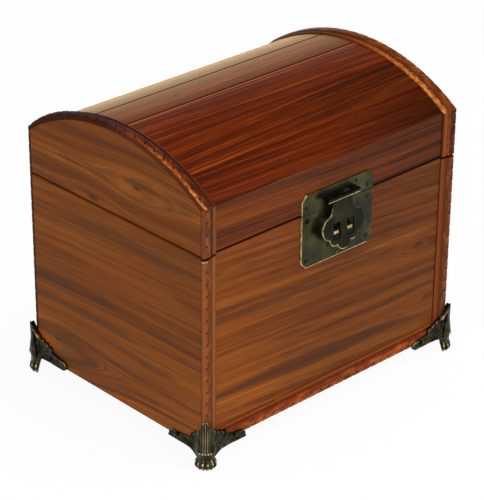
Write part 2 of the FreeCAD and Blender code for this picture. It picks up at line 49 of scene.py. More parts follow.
endLow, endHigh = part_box("left_end_panel")[0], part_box("right_end_panel")[1]
baseZ = endLow.z
seamZ = (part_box("front_panel")[1].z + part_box("lid_front_rail")[0].z) / 2
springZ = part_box("lid_front_rail")[1].z
lidEndLow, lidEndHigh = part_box("lid_left_end")
archHalf = (lidEndHigh.y - lidEndLow.y) / 2
archMiddle = (lidEndHigh.y + lidEndLow.y) / 2
archRise = lidEndHigh.z - springZ
archRadius = (archHalf ** 2 + archRise ** 2) / (2 * archRise)
archTurn = math.asin(archHalf / archRadius)
archCentre = springZ + archRise - archRadius
stavePlaces = np.array([vert.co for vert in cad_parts["roof_stave_4"].data.vertices])
staveTurns = np.arctan2(stavePlaces[:, 1] - archMiddle, stavePlaces[:, 2] - archCentre)
staveWidth = archRadius * staveTurns.max().item()
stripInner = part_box("front_right_moulding")[0].x
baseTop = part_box("front_base_moulding")[1].z


# shader values: a socket with arithmetic, each operator adds a Math node

def operator(operation, swapped=False):
    def method(self, other=0.0):
        return self.maths(operation, other, self) if swapped else self.maths(operation, self, other)
    return method


class Value:
    def __init__(self, tree, socket=None):
        self.tree = tree
        self.socket = socket

    def node(self, kind, settings=None, sockets=None, out=0):  # any node: type, settings, then sockets
        made = self.tree.nodes.new("ShaderNode" + kind)
        for name, setting in (settings or {}).items():
            setattr(made, name, setting)
        for name, given in (sockets or {}).items():
            if isinstance(given, Value):
                self.tree.links.new(given.socket, made.inputs[name])
            else:
                made.inputs[name].default_value = given
        return Value(self.tree, made.outputs[out])

    def maths(self, operation, first, second=0.0):
        return self.node("Math", {"operation": operation}, {0: first, 1: second})

    __add__ = __radd__ = operator("ADD")
    __sub__, __rsub__ = operator("SUBTRACT"), operator("SUBTRACT", swapped=True)
    __mul__, __truediv__, __pow__ = operator("MULTIPLY"), operator("DIVIDE"), operator("POWER")
    __abs__, larger = operator("ABSOLUTE"), operator("MAXIMUM")

    def smooth(self, low, high):  # 0 below low, 1 above high, eased between
        return self.node("MapRange", {"interpolation_type": "SMOOTHSTEP"}, {0: self, 1: low, 2: high})

    def ramp(self, places, tones):
        made = self.node("ValToRGB", {}, {0: self})
        elements = made.socket.node.color_ramp.elements
        while len(elements) < len(places):
            elements.new(1.0)
        for element, place, colour in zip(elements, places, tones):
            element.position, element.color = place, tone(*colour)
        return made

    def parts(self):
        return [self.node("SeparateXYZ", {}, {0: self}, axis) for axis in range(3)]


def tone(red, green, blue):  # display colour 0 to 255 as a linear colour
    share = np.array([red, green, blue]) / 255
    linear = np.where(share <= 0.04045, share / 12.92, ((share + 0.055) / 1.055) ** 2.4)
    return (*linear.tolist(), 1.0)


def newMaterial(name):
    material = bpy.data.materials.new(name)
    material.use_nodes = True
    tree = material.node_tree
    return material, Value(tree), tree.nodes["Principled BSDF"]


def feed(node, links, fixed):  # links vary, fixed are plain settings
    for name, value in links.items():
        node.id_data.links.new(value.socket, node.inputs[name])
    for name, setting in fixed.items():
        node.inputs[name].default_value = setting


def mixed(share, first, second, blend="MIX"):
    settings = {"data_type": "RGBA", "blend_type": blend}
    return share.node("Mix", settings, {0: share, 6: first, 7: second}, out=2)


def noise(place, detail, roughness, scale=1.0):
    sockets = {"Vector": place, "Scale": scale, "Detail": detail, "Roughness": roughness}
    return place.node("TexNoise", {}, sockets)


def spot(x, y, z):
    return x.node("CombineXYZ", {}, {0: x, 1: y, 2: z})


def raised(height, strength, distance):
    return height.node("Bump", {}, {"Strength": strength, "Distance": distance, "Height": height})


# stained and varnished pine: warped streaks, growth rings, fibres, and knots that push the grain aside

pineTones = {
    "front": [(74, 36, 14), (104, 51, 14), (124, 62, 16), (139, 75, 21), (168, 96, 34)],
    "rail": [(47, 21, 8), (75, 33, 9), (99, 45, 12), (120, 58, 17), (152, 82, 32)],
    "end": [(70, 37, 15), (97, 49, 13), (114, 59, 13), (131, 70, 17), (156, 92, 34)],
    "roof": [(44, 13, 3), (74, 24, 3), (96, 33, 4), (124, 50, 8), (160, 76, 20)],
}
pineNoise = {  # scales along, across (None: the board's) and into the grain, shares of the seed, detail, roughness
    "sway": ((6, 14, 14), (1, 0, 0), 1.0, 0.5),
    "streaks": ((5, None, 90), (1, 0, 0), 5.0, 0.62),
    "bands": ((2.5, 60, 40), (-1, 0, 0), 2.0, 0.5),
    "lines": ((4, 460, 200), (2, 0, 0), 3.0, 0.6),
    "fibres": ((55, 1700, 900), (0, 0, 1), 2.0, 0.6),
    "cloud": ((8, 24, 24), (0, 1, 0), 2.0, 0.5),
    "smudge": ((11, 150, 50), (-3, 0, 0), 4.0, 0.62),
}
pine = {
    "places": (0.24, 0.40, 0.52, 0.66, 0.80), "knotLength": 2.6, "knotPush": 0.9, "knotEdge": (0.15, 1.1),
    "knotTone": tone(36, 22, 14), "beltCore": 0.3, "belt": 0.11, "smudge": (0.54, 0.70), "lines": (0.60, 0.72),
    "ringWave": 3.0, "ringRise": (0.40, 0.92), "ringFall": (0.94, 1.0), "ringPatches": (0.36, 0.60), "middle": 0.53,
    "streaks": 0.95, "fibres": 0.36, "uneven": 0.10, "edgeSoft": 0.05 * mm, "edge": 0.85, "rubPatches": (0.42, 0.60),
    "bump": (0.12, 0.25 * mm),
    "fixed": {"Specular IOR Level": 0.02, "Sheen Roughness": 0.3, "Sheen Tint": tone(255, 210, 122)},
}
# joint: the light tone paints a highlight along the rail's top edge; the near-black tone paints the shadow in the gap
# under the lid's carved strips
joint = {
    "gap": 0.3 * mm, "from": 0.12 * mm, "to": 0.62 * mm, "rough": 0.35, "dull": 0.4, "wornAndLit": tone(172, 100, 54),
    "seam": tone(24, 8, 4),
}


def staveOffset(y, z):  # distance along the roof's arc behind the nearest joint between staves
    turns = y.maths("ARCTAN2", y - archMiddle, z - archCentre) * (archRadius / staveWidth)
    return (turns - turns.maths("ROUND", turns)) * staveWidth


def jointShade(board, x, y, z):
    # dark lines where boards meet, staining in the joints and painted shade in the gaps such as the lid's seam and the
    # bottom edge: distance to each joint, eased from the joint outwards
    distances = {
        "seam": lambda: abs(z - seamZ) - joint["gap"],
        "foot": lambda: z - baseZ,
        "sides": lambda: stripInner - abs(x),
        "base": lambda: abs(z - baseTop),
        "ends": lambda: archHalf - abs(y - archMiddle),
        "arch": lambda: archRadius - ((y - archMiddle) ** 2 + (z - archCentre) ** 2) ** 0.5,
        "staves": lambda: abs(staveOffset(y, z)),
    }
    dark = None
    for name, weight in board["joints"].items():
        line = (1 - distances[name]().smooth(joint["from"], joint["to"] * board["spread"])) * weight
        dark = line if dark is None else dark.larger(line)
    return dark


def grainNoise(layer, board, *axes):
    scales, shares, detail, roughness = pineNoise[layer]
    place = [axis * (scale or board["fine"]) + board["seed"] * share
             for axis, scale, share in zip(axes, scales, shares)]
    return noise(spot(*place), detail, roughness)


def stainedPine(name, board):
    material, shade, principled = newMaterial(name)
    x, y, z = shade.node("TexCoord", out="Object").parts()
    along, across, depth = {"x": (x, z, y), "y": (y, z, x), "roof": (x, y, z)}[board["grain"]]
    sway = grainNoise("sway", board, along, across, depth) - 0.5
    bent = across + along * board["slope"] + sway * board["sway"]
    core = None
    for knotAlong, knotAcross, size, reach in board["knots"]:
        u = (along - knotAlong) / (pine["knotLength"] * reach)
        v = (across - knotAcross) / reach
        far = u * u + v * v
        bent = bent - v / (abs(v) + 0.35) / (1 + far * far) * (pine["knotPush"] * reach)
        eye = 1 - (far * (reach / size) ** 2).smooth(*pine["knotEdge"])
        core = eye if core is None else core.larger(eye)
    layers = ("streaks", "bands", "lines", "fibres", "smudge")
    streaks, bands, lines, fibres, smudge = (grainNoise(layer, board, along, bent, depth) for layer in layers)
    cloud = grainNoise("cloud", board, along, across, depth)
    for place, half in board["belts"]:
        smudge = smudge + (1 - abs(bent - place).smooth(pine["beltCore"] * half, half)) * pine["belt"]
    rings = bent * board["rings"] + bands * pine["ringWave"]
    ring = rings - rings.maths("FLOOR", rings)
    late = ring.smooth(*pine["ringRise"]) * (1 - ring.smooth(*pine["ringFall"])) * cloud.smooth(*pine["ringPatches"])
    figure = (streaks - 0.5) * pine["streaks"] + (bands - 0.5) * board["bands"] + (fibres - 0.5) * pine["fibres"]
    grain = pine["middle"] + (figure - late * board["ringDepth"]) * board["contrast"]
    tones = pineTones[board["tones"]]
    colour = grain.ramp(pine["places"], tones)
    colour = mixed(lines.smooth(*pine["lines"]) * board["pale"], colour, tone(*tones[-1]))
    colour = mixed(smudge.smooth(*pine["smudge"]) * board["smudge"], colour, board["smudgeTone"])
    # colour multiplied along or across a board: partly uneven staining, partly painted light and shade, darker towards
    # the right and lighter near the bottom
    for way, fadeFrom, fadeTo, fadeTone in board["stainAndLightFades"]:
        fade = {"along": along, "across": across}[way].smooth(fadeFrom, fadeTo)
        colour = mixed(fade, colour, fadeTone, "MULTIPLY")
    if core is not None:
        colour = mixed(core * board["knotDark"], colour, pine["knotTone"])
    rough = board["rough"] + (fibres - 0.5) * pine["uneven"] + (cloud - 0.5) * pine["uneven"]
    varnish = (0.9 + cloud * 0.2) * board["gloss"]
    # joint lines: staining and painted shade
    if board["joints"]:
        dark = jointShade(board, x, y, z)
        colour = mixed(dark, colour, board["stainAndShade"])
        rough = rough + dark * joint["rough"]
        varnish = (1 - dark.smooth(0.0, joint["dull"])) * varnish
    for way, width, edgeTone in board["edges"]:  # stained dark band at a stave's front edge (1), painted highlight along its back edge (-1)
        into = staveOffset(y, z) * way
        band = into.smooth(-pine["edgeSoft"], pine["edgeSoft"]) * (1 - into.smooth(0.5 * width, width))
        colour = mixed(band * pine["edge"], colour, edgeTone)
    # painted highlight, with worn varnish, along the rail's top edge
    if board["wornAndLitTop"]:
        line = 1 - abs(z - springZ).smooth(joint["from"], joint["to"])
        wornAndLit = line * cloud.smooth(*pine["rubPatches"]) * board["wornAndLitTop"]
        colour = mixed(wornAndLit, colour, joint["wornAndLit"])
    bump = raised(fibres * 0.5 + streaks * 0.5, *pine["bump"])
    feed(principled, {"Base Color": colour, "Roughness": rough, "Normal": bump, "Coat Weight": varnish},
         {**pine["fixed"], "Coat Roughness": board["rough"], "Sheen Weight": board["haze"]})
    return material


def dress(node, material):
    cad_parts[node].material_slots[0].material = material


# belts: place, half width; knots: along, across, size, reach; fades: way, from, to, factor, partly uneven staining and
# partly painted light and shade; edges: side, width, tone
plainBoard = {
    "grain": "x", "seed": 0.0, "slope": 0.0, "sway": 0.005, "fine": 290.0, "bands": 0.5, "belts": [], "knots": [],
    "knotDark": 0.6, "rings": 210.0, "ringDepth": 0.07, "tones": "front", "pale": 0.55, "contrast": 0.95,
    "smudge": 0.50, "smudgeTone": tone(76, 42, 22), "stainAndLightFades": [], "joints": {}, "spread": 1.0, "stainAndShade": tone(30, 12, 6),
    "edges": [], "wornAndLitTop": 0.0, "rough": 0.34, "gloss": 0.10, "haze": 0.0,
}
frontJoints = {"seam": 0.95, "sides": 0.5, "base": 0.1}
endBoard = {
    "grain": "y", "tones": "end", "sway": 0.012, "rings": 150.0, "ringDepth": 0.10, "smudge": 0.55,
    "smudgeTone": tone(66, 40, 22), "pale": 0.75, "contrast": 0.85, "joints": {"seam": 0.5, "foot": 0.8, "ends": 0.85},
}
lidEndBoard = {**endBoard, "joints": {"seam": 0.5, "ends": 0.85, "arch": 0.85}}
roofBoard = {
    "grain": "roof", "tones": "roof", "sway": 0.003, "fine": 520.0, "bands": 0.3, "rings": 260.0,
    "smudgeTone": tone(52, 20, 9), "rough": 0.25, "gloss": 0.20, "joints": {"staves": 0.65}, "spread": 2.2,
    "stainAndShade": tone(84, 20, 2),
}
frontStave = {**roofBoard, "stainAndLightFades": [("along", -0.03, 0.09, (0.55, 0.64, 0.78, 1.0))]}
backBoard = {**roofBoard, "gloss": 0.06, "haze": 0.7, "joints": {"staves": 0.5}}
boards = {
    "front_panel": {
        "seed": 3.1, "slope": 0.065, "joints": frontJoints, "smudge": 0.65, "knotDark": 0.45,
        "stainAndLightFades": [("along", -0.13, 0.03, (0.63, 0.67, 0.80, 1.0)), ("across", 0.06, 0.02, (1.13, 1.12, 1.05, 1.0))],
        "belts": [(0.0815, 0.009), (0.036, 0.005), (0.1058, 0.005), (0.0264, 0.003)],
        "knots": [(0.0805, 0.0392, 0.0024, 0.008), (0.070, 0.0758, 0.0022, 0.006)],
    },
    "back_panel": {"seed": 8.6, "slope": -0.03, "joints": frontJoints},
    "lid_front_rail": {
        "seed": 5.7, "slope": 0.03, "tones": "rail", "joints": {"seam": 0.95, "sides": 0.75}, "wornAndLitTop": 0.8,
        "stainAndLightFades": [("along", -0.09, 0.10, (0.58, 0.59, 0.68, 1.0))],
    },
    "lid_back_rail": {"seed": 11.3, "joints": {"seam": 0.95, "sides": 0.75}},
    "left_end_panel": {
        **endBoard, "seed": 1.4, "slope": 0.06, "stainAndLightFades": [("across", 0.075, 0.035, (1.34, 1.38, 1.40, 1.0))],
        "belts": [(0.066, 0.006), (0.054, 0.006), (0.0305, 0.005), (0.110, 0.007)],
        "knots": [(0.050, 0.028, 0.0010, 0.017)],
    },
    "right_end_panel": {**endBoard, "seed": 7.2, "slope": -0.04},
    "lid_left_end": {
        **lidEndBoard, "seed": 4.4,
        "knots": [(-0.0205, springZ - 0.0045, 0.0016, 0.011), (0.0155, springZ - 0.0225, 0.0019, 0.009)],
    },
    "lid_right_end": {**lidEndBoard, "seed": 9.9, "knots": [(0.019, springZ - 0.002, 0.0020, 0.010)]},
    "bottom_panel": {"grain": "roof", "seed": 2.2, "tones": "end"},
    "roof_stave_1": {
        **frontStave, "seed": 13.1, "slope": 0.02,
        "stainAndLightFades": frontStave["stainAndLightFades"] + [("along", -0.2, -0.1, (0.86, 0.82, 0.74, 1.0))],
    },
    "roof_stave_2": {**frontStave, "seed": 15.8, "slope": -0.03},
    "roof_stave_3": {**roofBoard, "seed": 18.3, "slope": 0.02, "edges": [(-1, 2.0 * mm, tone(190, 112, 66))]},
    "roof_stave_4": {
        **backBoard, "seed": 21.9, "slope": -0.02, "knots": [(-0.0382, 0.0119, 0.0012, 0.004)],
        "edges": [(1, 5.2 * mm, tone(80, 20, 3)), (-1, 2.0 * mm, tone(184, 116, 78))],
    },
    "roof_stave_5": {
        **backBoard, "seed": 24.7, "slope": 0.03, "knots": [(-0.0424, 0.0413, 0.0018, 0.005)],
        "edges": [(1, 6.4 * mm, tone(70, 17, 2))],
    },
    "roof_stave_6": {**backBoard, "seed": 27.2, "slope": -0.01},
}
for node, board in boards.items():
    dress(node, stainedPine(node + "_pine", {**plainBoard, **board}))
print("boards stained:", len(boards))


# carved strips: staining gathered in the hollows, worn bright on the ridges, with painted highlights on the crests and
# the box strips' tops, painted shade on outer sides and the left arch's far half, and a painted shadow at the seam

carvedNoise = {  # scales along and across, seed, detail, roughness
    "streaks": (16, 4, 0.0, 4.0, 0.6), "mottle": (110, 2.5, 3.0, 2.0, 0.5), "slow": (18, 0.3, 7.0, 2.0, 0.5),
    "speck": (620, 7, 1.0, 3.0, 0.6), "flecks": (330, 5, 5.0, 2.0, 0.5),
}
carving = {  # bands: where each begins across the strip
    "bands": {"cove": (0.56, 0.68), "fillet": (0.82, 0.87), "inner": (0.98, 1.08)}, "band": 0.75, "edgeFrom": 0.005,
    "edge": 0.85, "ridge": (0.7, 1.0), "rubPatches": (0.40, 0.68), "rub": 0.5, "crest": 0.8, "crestEase": 0.1,
    "fleckPatches": (0.46, 0.60), "far": (0.05, 0.09), "paintedHighlight": (1.1, 1.7), "hollow": (0.0, 0.75), "seam": (0.1, 0.7),
    "bump": (0.12, 0.2 * mm), "fixed": {"Specular IOR Level": 0.04, "Coat Weight": 0.02, "Coat Roughness": 0.15},
}


def carvedPine(name, look):
    material, shade, principled = newMaterial(name)
    u, v = shade.node("UVMap", {"uv_map": "strip"}).parts()[:2]
    relief = shade.node("Attribute", {"attribute_name": "relief"}, out="Fac")

    def layer(key):
        along, across, seed, detail, roughness = carvedNoise[key]
        return noise(spot(u * along, v * across, seed), detail, roughness)

    streaks, mottle = layer("streaks"), layer("mottle")
    figure = streaks * 0.3 + mottle * 0.2 + layer("slow") * 0.25 + layer("speck") * 0.25
    wood = figure.ramp(look["places"], look["wood"])
    wornAndLit = relief.smooth(*carving["ridge"]) * mottle.smooth(*carving["rubPatches"])
    worn = mixed(wornAndLit * carving["rub"], wood, look["wornAndLit"])
    for band, limits in carving["bands"].items():
        worn = mixed(v.smooth(*limits) * carving["band"], worn, look[band])
    # outer side in the look's edge colour: painted light on the front left strips, painted shade on the right, back,
    # base and arch strips
    edge = 1 - v.smooth(carving["edgeFrom"], look["edgeTo"])
    worn = mixed(edge * carving["edge"], worn, look["edge"])
    if look["crest"]:  # painted highlight: a band across the strip with bright painted flecks, over the first stretch of the strip
        low, high, reach = look["crest"]
        crest = v.smooth(low, low + carving["crestEase"]) * (1 - v.smooth(high - carving["crestEase"], high))
        worn = mixed(crest * (1 - u.smooth(0.35 * reach, reach)) * carving["crest"], worn, look["wornAndLit"])
        flecks = layer("flecks").smooth(*carving["fleckPatches"])
        worn = mixed(crest * (1 - u.smooth(0.1 * reach, 0.7 * reach)) * flecks * 0.5, worn, look["paintedHighlight"])
    # painted shade over the far half of the strip (left arch)
    far = u.smooth(*carving["far"]) * look["farShade"]
    worn = mixed(far, worn, look["hollow"])
    # painted highlight on the rounded top of the box's front strips
    worn = mixed(relief.smooth(*carving["paintedHighlight"]) * 0.8, worn, look["paintedHighlight"])
    dark = mixed((1 - relief.smooth(*carving["hollow"])) * look["depth"], worn, look["hollow"])
    # painted shadow: near black in the seam under the lid's strips
    dark = mixed((0 - relief).smooth(*carving["seam"]) * 0.95, dark, joint["seam"])
    rough = 0.28 + (1 - relief) * 0.25 + (mottle - 0.5) * 0.14 + far * 0.4
    bump = raised(streaks, *carving["bump"])
    feed(principled, {"Base Color": dark, "Roughness": rough, "Normal": bump}, carving["fixed"])
    return material



# looks: edge tones paint light on the outer side of the front left strips and shade on that of the others; crest bands
# and the brightest tone are painted highlights; far darkening is painted shade
uprightLook = {
    "places": (0.30, 0.44, 0.56, 0.72), "wood": [(68, 32, 13), (92, 44, 16), (110, 54, 20), (136, 70, 28)],
    "wornAndLit": tone(166, 88, 40), "cove": tone(122, 70, 30), "fillet": tone(132, 82, 36), "inner": tone(116, 62, 24),
    "edge": tone(138, 78, 40), "edgeTo": 0.40, "hollow": tone(46, 15, 5), "paintedHighlight": tone(224, 160, 116), "depth": 0.35,
    "crest": None, "farShade": 0.0,
}
backLook = {**uprightLook, "edge": tone(38, 22, 10), "edgeTo": 0.12}
lidLeftLook = {
    **uprightLook, "wood": [(66, 33, 16), (90, 45, 22), (108, 56, 28), (136, 72, 36)],
    "cove": tone(76, 36, 14), "fillet": tone(106, 68, 36), "inner": tone(114, 62, 24), "edge": tone(108, 60, 36),
    "edgeTo": 0.20, "depth": 0.7,
}
rightLook = {
    **uprightLook, "wood": [(64, 31, 12), (84, 42, 17), (98, 51, 22), (124, 70, 34)],
    "wornAndLit": tone(146, 84, 44), "cove": tone(98, 46, 17), "fillet": tone(110, 54, 20), "inner": tone(116, 58, 20),
    "edge": tone(84, 48, 16), "edgeTo": 0.10, "paintedHighlight": tone(104, 58, 34), "depth": 0.3,
}
lidRightLook = {
    **uprightLook, "wood": [(42, 17, 6), (58, 24, 7), (72, 31, 9), (94, 44, 14)],
    "wornAndLit": tone(112, 54, 20), "cove": tone(126, 64, 24), "fillet": tone(134, 74, 32), "inner": tone(70, 32, 12),
    "edge": tone(40, 18, 8), "edgeTo": 0.20, "paintedHighlight": tone(150, 84, 40), "depth": 0.2, "crest": (0.54, 0.96, 0.06),
}
baseLook = {
    **uprightLook, "places": (0.36, 0.45, 0.54, 0.66),
    "wood": [(62, 22, 8), (102, 43, 13), (134, 61, 18), (176, 88, 28)], "wornAndLit": tone(190, 94, 32),
    "cove": tone(88, 30, 8), "fillet": tone(124, 64, 22), "edge": tone(58, 40, 20), "edgeTo": 0.05, "depth": 0.45,
}
archLook = {
    **uprightLook, "wornAndLit": tone(168, 84, 28), "cove": tone(72, 28, 8), "fillet": tone(80, 32, 9),
    "edge": tone(82, 37, 13), "edgeTo": 0.05, "paintedHighlight": tone(236, 160, 92), "depth": 0.4,
}
rightArchLook = {
    **archLook, "wood": [(60, 28, 10), (86, 40, 13), (106, 50, 16), (130, 64, 22)],
    "depth": 0.3, "crest": (0.64, 1.30, 0.11),
}
leftArchLook = {
    **archLook, "wood": [(44, 18, 6), (64, 25, 7), (82, 32, 9), (108, 46, 13)],
    "wornAndLit": tone(144, 68, 23), "crest": (0.02, 0.32, 0.085), "farShade": 0.75,
}
stripLooks = {
    "lid_front_left_moulding": lidLeftLook, "front_right_moulding": rightLook, "lid_front_right_moulding": lidRightLook,
    "front_base_moulding": baseLook, "back_base_moulding": baseLook, "lid_left_arch_moulding": leftArchLook,
    "lid_right_arch_moulding": rightArchLook,
    **{f"{part}back_{side}_moulding": backLook for part in ("", "lid_") for side in ("left", "right")},
}


# metals: dark patina in the hollows, bright where hands and cloths rub the ridges and where highlights are painted,
# darkened as painted shade in listed boxes

patina = {
    "places": (0.36, 0.52, 0.66), "cloud": (3.0, 0.55), "speck": (4.0, 0.65, 1500.0), "speckEdge": (0.58, 0.72),
    "uneven": 0.16, "wearAndHighlight": (0.30, 1.0), "bright": tone(206, 188, 138), "rubSmooth": 0.06, "rubDull": 0.35,
    "bump": 0.12 * mm, "paintedShade": 0.9, "paintedShadeTone": tone(12, 12, 8), "paintedShadeDull": 0.8, "gloss": 0.1,
}


def agedMetal(name, look):
    material, shade, principled = newMaterial(name)
    place = shade.node("TexCoord", out="Object")
    wearAndHighlight = shade.node("Attribute", {"attribute_name": "wearAndHighlight"}, out="Fac")
    cloud = noise(place, *patina["cloud"], look["cloudScale"])
    speck = noise(place, *patina["speck"])
    # bright where worn and where highlights are painted (the mark on the feet)
    wornAndLit = wearAndHighlight.smooth(*patina["wearAndHighlight"]) * (0.50 + speck * 0.7)
    colour = mixed(wornAndLit, cloud.ramp(patina["places"], look["tones"]), patina["bright"])
    colour = mixed(speck.smooth(*patina["speckEdge"]) * look["specks"], colour, tone(*look["tones"][0]))
    rough = look["rough"] + (speck - 0.5) * patina["uneven"] - wornAndLit * patina["rubSmooth"]
    bump = raised(speck, look["bump"], patina["bump"])
    metallic = look["metal"] - wornAndLit * patina["rubDull"]
    # painted shade: darker, duller metal inside each listed box
    for left, right, low, high in look["paintedShade"]:
        x, y, z = place.parts()
        inside = x.smooth(left - mm, left) * (1 - x.smooth(right, right + mm))
        inside = inside * z.smooth(low - mm, low) * (1 - z.smooth(high, high + mm))
        colour = mixed(inside * patina["paintedShade"], colour, patina["paintedShadeTone"])
        metallic = metallic * (1 - inside * patina["paintedShadeDull"])
    links = {"Base Color": colour, "Roughness": rough, "Normal": bump, "Metallic": metallic}
    feed(principled, links, {"Specular IOR Level": patina["gloss"]})
    return material


windows = [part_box("staple_left"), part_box("staple_right")]
pinLow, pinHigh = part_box("hasp_pin")
pinY, pinZ = (pinLow.y + pinHigh.y) / 2, (pinLow.z + pinHigh.z) / 2
stapleLow, stapleHigh = windows[0][0], windows[1][1]
castLook = {
    "tones": [(24, 23, 15), (46, 44, 29), (66, 62, 42)], "cloudScale": 230.0, "specks": 0.5, "rough": 0.33,
    "bump": 0.25, "metal": 0.9, "paintedShade": [],
}
plateLook = {
    **castLook, "tones": [(42, 43, 27), (58, 58, 35), (78, 71, 44)], "rough": 0.26, "cloudScale": 90.0, "specks": 0.25,
    "bump": 0.10, "metal": 0.8,
    "paintedShade": [  # left, right, low, high: painted shade behind the hasp around the staples, and painted shadow of the hasp beside them and of the barrel around it
        (stapleLow.x - 0.8 * mm, stapleHigh.x + 6 * mm, stapleLow.z - 7 * mm, stapleHigh.z + 4.8 * mm),
        (stapleLow.x - 5 * mm, stapleLow.x + 2 * mm, stapleLow.z + 2 * mm, stapleHigh.z + 8 * mm),
        (pinLow.x + 3 * mm, pinHigh.x - 2 * mm, pinZ - 2 * mm, pinZ + 2.2 * mm),
    ],
}
haspLook = {**plateLook, "tones": [(24, 23, 14), (37, 36, 22), (52, 47, 30)], "paintedShade": []}
# bright brass for edges and the barrel's band: worn, with painted highlight on the sides that face the light
edgeLook = {
    **plateLook, "tones": [(132, 114, 66), (190, 168, 110), (220, 202, 148)], "rough": 0.30, "cloudScale": 400.0,
    "metal": 0.45, "paintedShade": [],
}
nailLook = {**castLook, "tones": [(16, 18, 12), (30, 33, 24), (52, 54, 40)], "rough": 0.28}
brassLook = {**castLook, "tones": [(84, 68, 34), (128, 106, 56), (164, 138, 78)], "rough": 0.32}
castBronze = agedMetal("castBronze", castLook)
plateBronze = agedMetal("plateBronze", plateLook)
haspBronze = agedMetal("haspBronze", haspLook)
wornAndLitEdge = agedMetal("wornAndLitEdge", edgeLook)
nailBronze = agedMetal("nailBronze", nailLook)
oldBrass = agedMetal("oldBrass", brassLook)
print("finishes made:", len(bpy.data.materials))


# meshes from grids of points

def together(*coordinates):  # spread over one grid, as points
    return np.stack(np.broadcast_arrays(*coordinates), axis=-1)


def bell(distance, width):  # 1 at no distance, falling away over the width
    return np.exp(-(distance / width) ** 2)


def clamp(values):
    return np.clip(values, 0, 1)


def softSteps(places, values, at, blur):  # straight steps between places, rounded by averaging near neighbours
    shifts = np.linspace(-blur, blur, 7)
    return np.mean([np.interp(at + shift, places, values) for shift in shifts], axis=0)


def gridQuads(rows, columns):  # quads between neighbours of a grid whose last column meets its first
    r = np.arange(rows - 1)[:, None] * columns
    c = np.arange(columns)[None, :]
    following = (c + 1) % columns
    return together(r + c, r + following, r + columns + following, r + columns + c).reshape(-1, 4)


class Sheets:  # collects grids of points with their attributes, then makes one object of them
    def __init__(self):
        self.points, self.faces, self.marks, self.uvs, self.count = [], [], [], [], 0

    def add(self, points, mark, uv=None, capped=True):
        rows, columns = points.shape[:2]
        self.points.append(points.reshape(-1, 3))
        self.marks.append(np.broadcast_to(mark, (rows, columns)).reshape(-1))
        self.uvs.append(np.zeros((rows * columns, 2)) if uv is None else uv.reshape(-1, 2))
        self.faces += (gridQuads(rows, columns) + self.count).tolist()
        if capped:
            first = np.arange(columns) + self.count
            self.faces += [first[::-1].tolist(), (first + (rows - 1) * columns).tolist()]
        self.count += rows * columns

    def build(self, name, attribute, material, smoothAngle):
        mesh = bpy.data.meshes.new(name)
        mesh.from_pydata(np.concatenate(self.points).tolist(), [], self.faces)
        mesh.attributes.new(attribute, "FLOAT", "POINT").data.foreach_set("value", np.concatenate(self.marks))
        loops = np.empty(len(mesh.loops), dtype=np.int32)
        mesh.loops.foreach_get("vertex_index", loops)
        mesh.uv_layers.new(name="strip").data.foreach_set("uv", np.concatenate(self.uvs)[loops].reshape(-1))
        outward(mesh)
        mesh.shade_smooth()
        mesh.set_sharp_from_angle(angle=math.radians(smoothAngle))
        mesh.materials.append(material)
        return stand(name, mesh)


def stand(name, content):  # an object of a mesh, lamp or camera
    made = bpy.data.objects.new(name, content)
    bpy.context.scene.collection.objects.link(made)
    return made


def outward(mesh):
    shell = bmesh.new()
    shell.from_mesh(mesh)
    bmesh.ops.recalc_face_normals(shell, faces=shell.faces)
    shell.to_mesh(mesh)
    shell.free()


def seat(piece, body, slot, *nodes):
    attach(piece, body)
    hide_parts(*nodes)


# carved mouldings: a flat bar with a rope carved along its outer half, a cove and a fillet, carried along a path

strip = {
    "pitch": 7.2 * mm, "step": 0.34 * mm, "columns": 40, "least": 0.12, "ropeMiddle": 0.33, "ropeHalf": 0.34,
    "ropeFade": 0.25, "twist": 0.40, "curl": 0.10, "groove": 0.30 * mm, "grooveWidth": 0.085, "vein": 0.08 * mm,
    "veinWidth": 0.05, "pit": 0.8 * mm, "pitSize": 0.75 * mm, "pitAcross": -0.25, "cove": 0.76, "coveWidth": 0.045,
    "endRound": 1.8 * mm, "sideRound": 1.8 * mm, "shadow": 0.75 * mm, "paintedHighlight": 1.7 * mm, "uprightReach": 0.84,
    "archSwell": 0.85,
}
stripSection = [  # share across: share of crown
    (0.00, 0.70), (0.03, 0.83), (0.08, 0.93), (0.32, 1.00), (0.56, 0.95), (0.64, 0.80), (0.69, 0.50), (0.74, 0.30),
    (0.79, 0.34), (0.83, 0.52), (0.88, 0.57), (0.96, 0.52), (1.00, 0.40),
]


